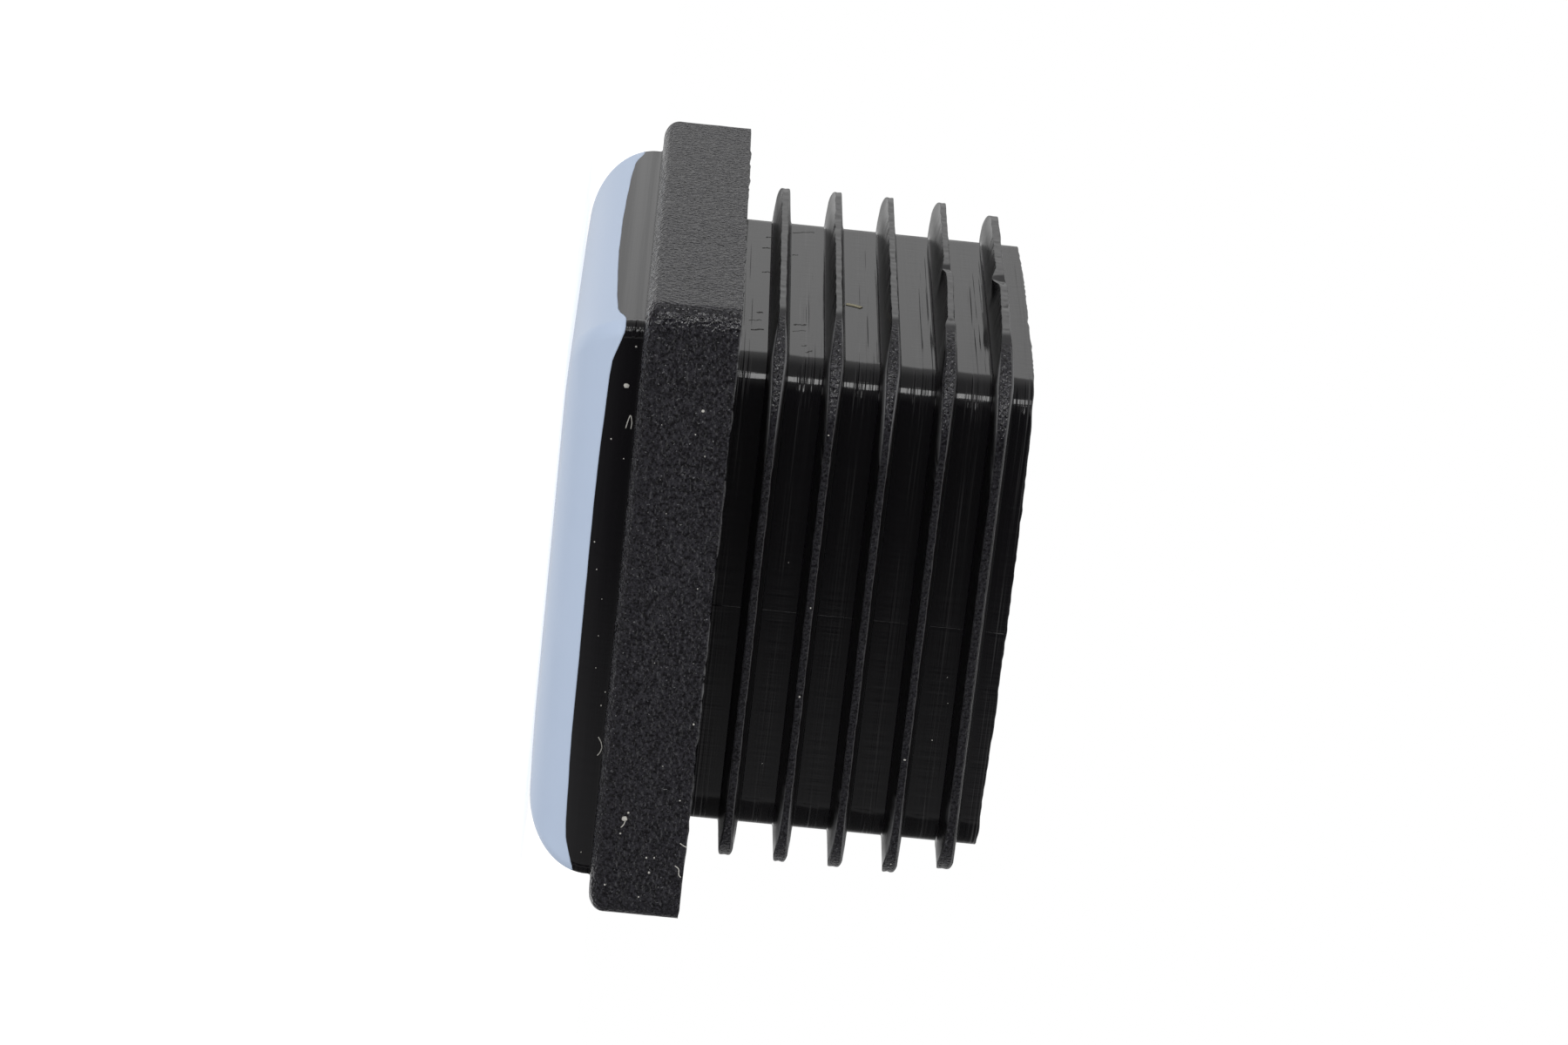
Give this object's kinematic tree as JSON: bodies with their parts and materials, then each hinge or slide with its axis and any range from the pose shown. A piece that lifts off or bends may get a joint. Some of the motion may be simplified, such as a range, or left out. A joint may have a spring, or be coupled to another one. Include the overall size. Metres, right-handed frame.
{
  "type": "tube end cap",
  "caption": "Square ribbed plastic insert that closes a tube end or chair leg, with a flange and a pale low-friction glide pad that slides on floors.",
  "frame": {"origin": "centre of the glide face, on the floor the cap stands on", "axes": "+Z along the cap's axis, from the glide face to the open end of the stem, the way the tube leaves; X and Y square to the flange's sides"},
  "size_m": [0.035, 0.035, 0.0249],
  "materials": {
    "black_moulding": "black polyethylene: fine spark-eroded grain on the flange and the rib corners, glossy elsewhere",
    "pale_glide_film": "satin light-blue low-friction film"
  },
  "bodies": {
    "root": {"insert_body": "black_moulding", "glide_skin": "pale_glide_film"}
  },
  "joints": []
}
